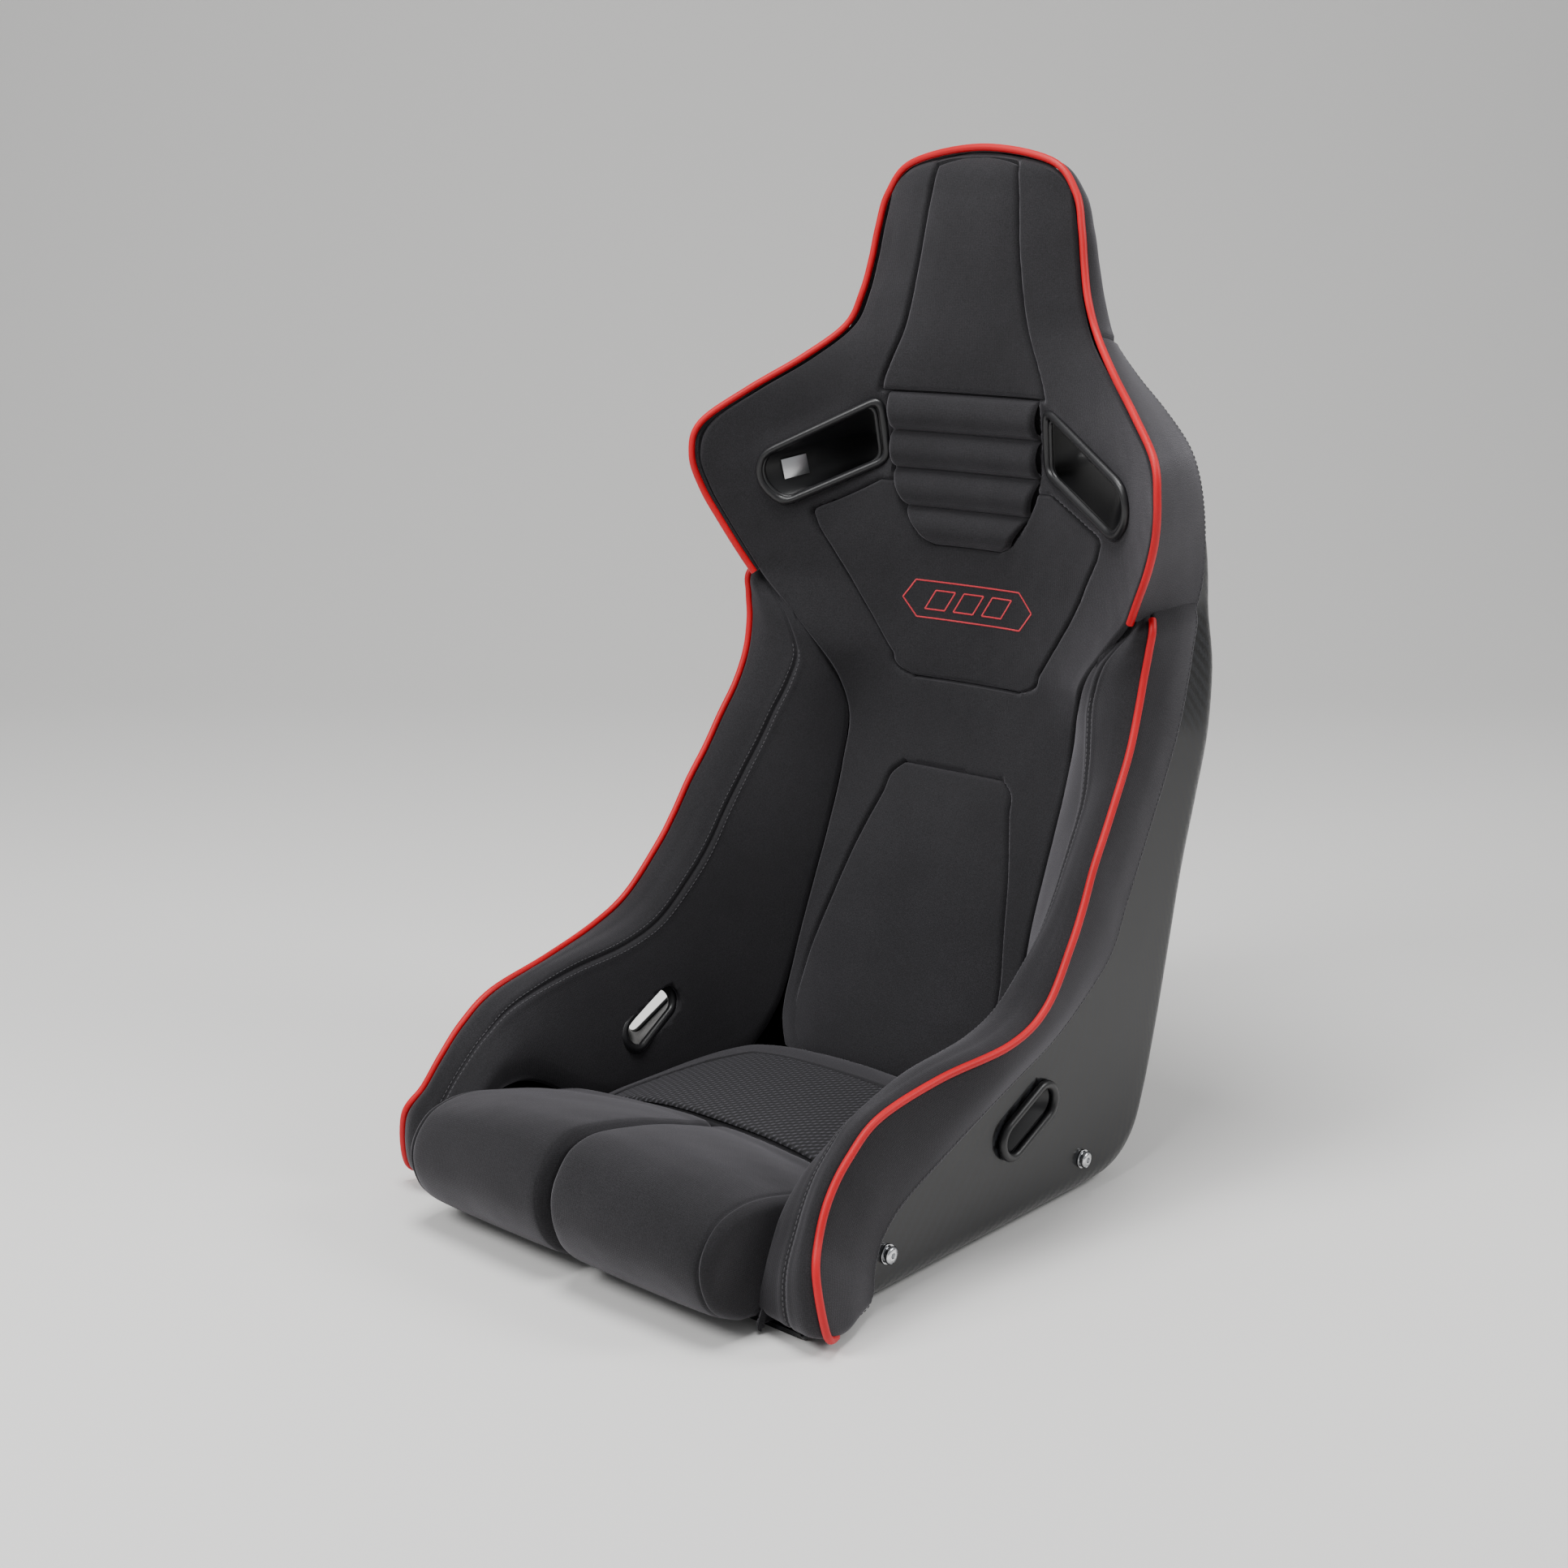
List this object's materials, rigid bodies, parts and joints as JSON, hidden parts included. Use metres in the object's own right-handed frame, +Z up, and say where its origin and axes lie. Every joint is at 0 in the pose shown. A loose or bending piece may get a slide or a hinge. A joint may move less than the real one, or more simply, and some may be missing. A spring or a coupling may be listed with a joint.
{
  "type": "racing seat",
  "caption": "Fixed-back bucket seat with a composite shell, padded cloth covers, red piping, harness guides and a lift-out base cushion.",
  "frame": {"origin": "under the middle of the seat's box, on the plane that the base stands on", "axes": "+Z up, the seat faces -Y, +X towards the sitter's left-hand side"},
  "size_m": [0.5706, 0.6978, 0.9704],
  "materials": {
    "composite_shell": "clear-coated black twill composite",
    "jersey_cloth": "foam-backed charcoal jersey cloth",
    "woven_insert": "coarse diagonal weave",
    "piping": "red covered cord piping",
    "moulded_plastic": "satin injection-moulded plastic",
    "nameplate": "blank brushed plate",
    "hook_tape": "hook-and-loop tape",
    "mount_steel": "black electro-coated steel",
    "bright_fastener": "chrome-plated steel"
  },
  "bodies": {
    "seat_frame": {"shell_seat": "composite_shell", "shell_waist": "composite_shell", "shell_shoulders": "composite_shell", "shell_head": "composite_shell", "back_pad_lower": "jersey_cloth", "back_pad_waist": "jersey_cloth", "back_pad_shoulders": "jersey_cloth", "back_pad_head": "jersey_cloth", "head_pad": "jersey_cloth", "channel_pad": "jersey_cloth", "upper_back_panel": "jersey_cloth", "lumbar_pad": "jersey_cloth", "side_bolster_left": "jersey_cloth", "side_bolster_right": "jersey_cloth", "bolster_gusset_left": "jersey_cloth", "bolster_gusset_right": "jersey_cloth", "shoulder_gusset_left": "jersey_cloth", "shoulder_gusset_right": "jersey_cloth", "head_gusset": "jersey_cloth", "piping_upper": "piping", "piping_lower_left": "piping", "piping_lower_right": "piping", "harness_guide_left": "moulded_plastic", "harness_guide_right": "moulded_plastic", "harness_bezel_rear_left": "moulded_plastic", "harness_bezel_rear_right": "moulded_plastic", "lap_belt_guide_left": "moulded_plastic", "lap_belt_guide_right": "moulded_plastic", "lap_belt_bezel_outer_left": "moulded_plastic", "lap_belt_bezel_outer_right": "moulded_plastic", "tag_plate": "nameplate", "cushion_tape_front": "hook_tape", "cushion_tape_rear": "hook_tape", "mount_plate_left": "mount_steel", "mount_plate_right": "mount_steel", "mount_washer_front_left": "bright_fastener", "mount_washer_front_right": "bright_fastener", "mount_bolt_front_left": "bright_fastener", "mount_bolt_front_right": "bright_fastener", "mount_washer_rear_left": "bright_fastener", "mount_washer_rear_right": "bright_fastener", "mount_bolt_rear_left": "bright_fastener", "mount_bolt_rear_right": "bright_fastener"},
    "seat_cushion": {"cushion_base": "jersey_cloth", "cushion_insert": "woven_insert", "thigh_roll_left": "jersey_cloth", "thigh_roll_right": "jersey_cloth"}
  },
  "joints": [
    {"name": "cushion_lift", "type": "slide", "parent": "seat_frame", "child": "seat_cushion", "axis": [0, -0.8, 0.6], "range_m": [0, 0.5]}
  ]
}
